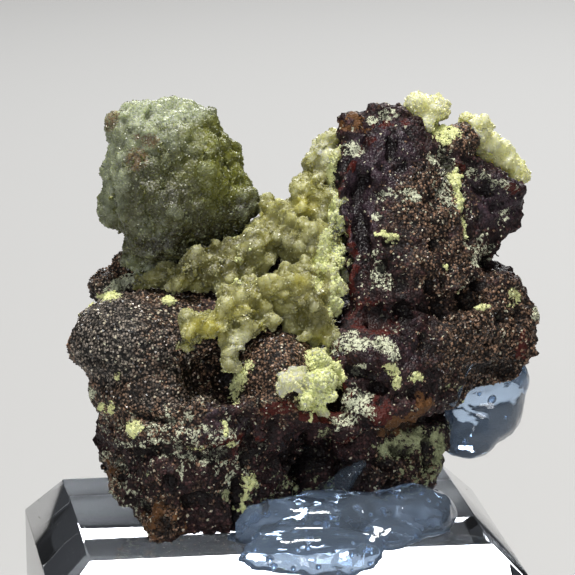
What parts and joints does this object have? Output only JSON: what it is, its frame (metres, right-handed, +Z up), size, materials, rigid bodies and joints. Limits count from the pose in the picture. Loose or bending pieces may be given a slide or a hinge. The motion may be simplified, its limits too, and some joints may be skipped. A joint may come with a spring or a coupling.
{
  "type": "austinite mineral specimen",
  "caption": "Austinite specimen: a green crystal ball and a yellow crystal crust on dark limonite rock, glued to a clear bevelled display base.",
  "frame": {"origin": "centre of the acrylic base's underside", "axes": "+Z up, +X to the right and +Y to the back along the sides of the base, seen from the specimen's front"},
  "size_m": [0.0414, 0.0382, 0.0468],
  "materials": {
    "acrylic": "clear polished acrylic with fine scratches",
    "limonite": "dark brown and maroon, granular, with lemon yellow coats",
    "green_austinite": "drusy, translucent olive green, sparkling",
    "yellow_austinite": "drusy, translucent pale yellow",
    "glue": "clear hot-melt glue with bubbles"
  },
  "bodies": {
    "root": {"acrylic_base": "acrylic", "limonite_rock": "limonite", "green_austinite_ball": "green_austinite", "yellow_austinite_crust": "yellow_austinite", "top_austinite_knob": "yellow_austinite", "back_austinite_crust": "yellow_austinite", "front_austinite_tuft": "yellow_austinite", "glue_pool": "glue", "glue_glob": "glue"}
  },
  "joints": []
}
